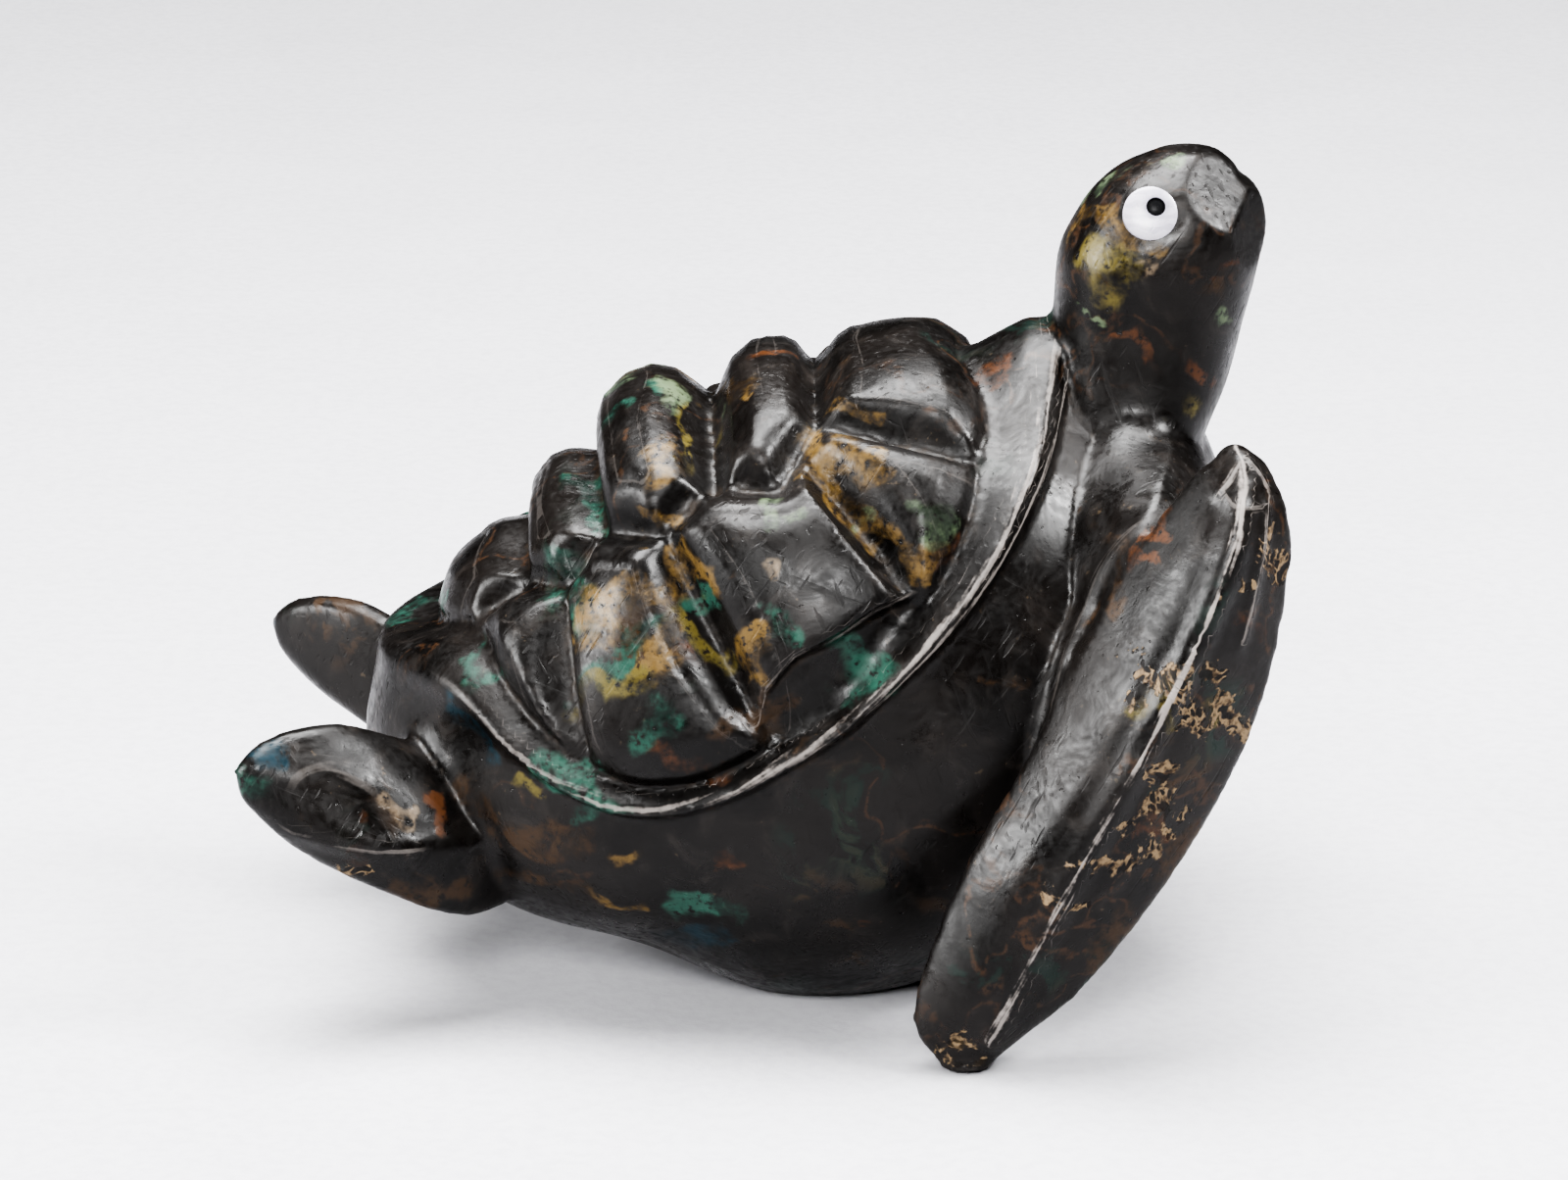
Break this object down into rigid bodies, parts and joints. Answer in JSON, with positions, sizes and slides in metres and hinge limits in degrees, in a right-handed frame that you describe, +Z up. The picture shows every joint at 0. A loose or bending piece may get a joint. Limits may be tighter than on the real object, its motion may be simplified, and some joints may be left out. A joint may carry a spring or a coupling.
{
  "type": "zuni fetish",
  "caption": "Carved stone sea turtle with a raised head, a shell of bevel-cut scutes, spread flippers and inlaid ring eyes.",
  "frame": {"origin": "on the ground, under the middle of the turtle's bounding box", "axes": "+X where the head points, +Y the turtle's left, +Z up"},
  "size_m": [0.06, 0.0436, 0.0492],
  "materials": {
    "stone": "polished near-black stone with green, ochre and rust patches",
    "shell": "polished white shell bead",
    "jet": "polished black dot"
  },
  "bodies": {
    "root": {"turtle": "stone", "right_eye_ring": "shell", "right_eye_pupil": "jet", "left_eye_ring": "shell", "left_eye_pupil": "jet"}
  },
  "joints": []
}
